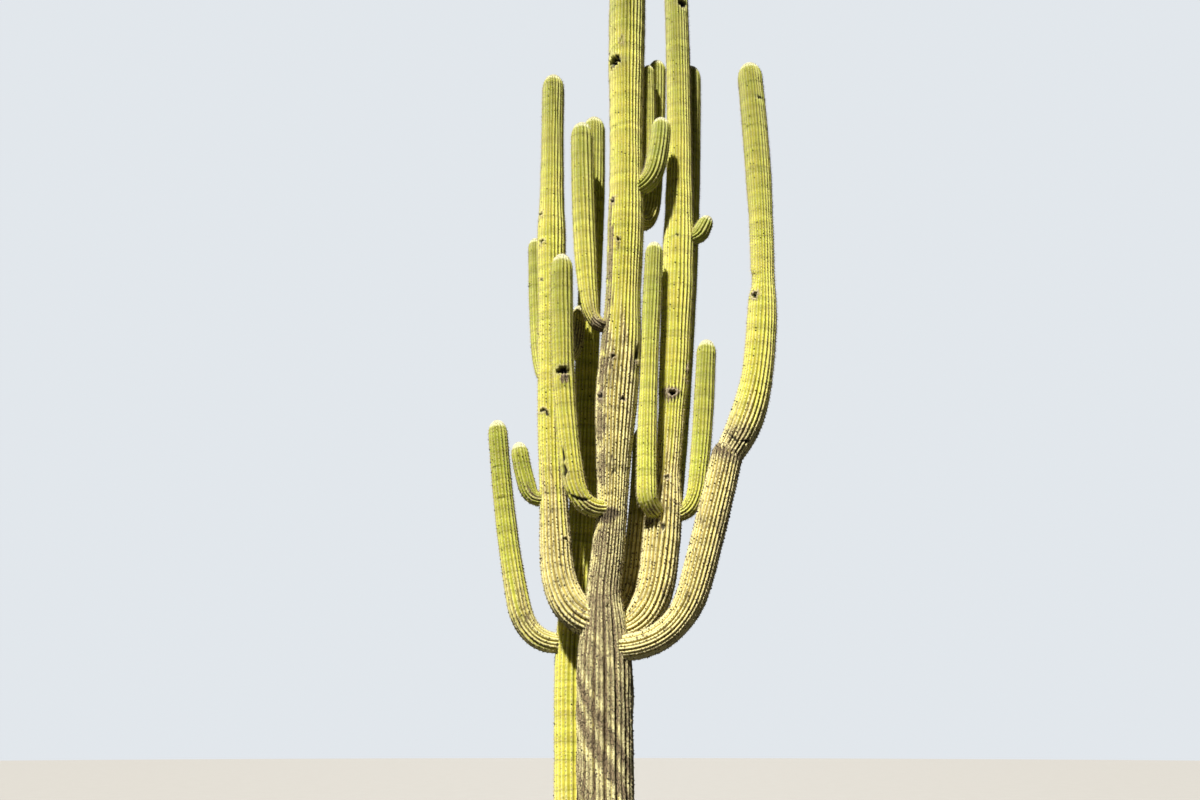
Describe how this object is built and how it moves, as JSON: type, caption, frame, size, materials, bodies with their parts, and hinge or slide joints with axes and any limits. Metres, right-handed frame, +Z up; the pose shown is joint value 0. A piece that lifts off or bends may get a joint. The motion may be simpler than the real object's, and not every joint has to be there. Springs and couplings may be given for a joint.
{
  "type": "saguaro cactus",
  "caption": "Tall old saguaro: a ribbed trunk with a waist and a root flare, a twin stem from the same foot, and upward-curving ribbed arms and buds, cut flat at ground level.",
  "frame": {"origin": "centre of the trunk's flat cut at ground level", "axes": "+Z up along the trunk, +X to the right of the picture, +Y away from the picture's viewer"},
  "size_m": [3.6708, 1.2518, 12.55],
  "materials": {
    "trunk_skin": "ribbed waxy skin, straw green above and tan with grey cork below",
    "old_skin": "ribbed waxy skin, straw green with tan corky feet",
    "young_skin": "ribbed waxy skin, fresher green with pale woolly crown"
  },
  "bodies": {
    "root": {"trunk": "trunk_skin", "twin_stem": "old_skin", "right_tall_elbow": "old_skin", "right_tall_column": "old_skin", "outer_right_elbow": "old_skin", "outer_right_column": "old_skin", "outer_right_top_elbow": "old_skin", "outer_right_top_column": "old_skin", "right_hook_elbow": "young_skin", "right_hook_column": "young_skin", "back_right_elbow": "old_skin", "back_right_column": "old_skin", "back_low_elbow": "old_skin", "back_low_column": "old_skin", "back_high_elbow": "old_skin", "back_high_column": "old_skin", "back_thin_elbow": "old_skin", "back_thin_column": "old_skin", "high_front_elbow": "young_skin", "high_front_column": "young_skin", "inner_elbow": "young_skin", "inner_column": "young_skin", "front_left_elbow": "old_skin", "front_left_column": "old_skin", "left_tall_elbow": "old_skin", "left_tall_column": "old_skin", "left_back_elbow": "young_skin", "left_back_column": "young_skin", "low_left_elbow": "young_skin", "low_left_column": "young_skin", "upper_left_elbow": "old_skin", "upper_left_column": "old_skin", "right_bud": "young_skin", "left_bud": "young_skin", "middle_bud": "young_skin"}
  },
  "joints": []
}
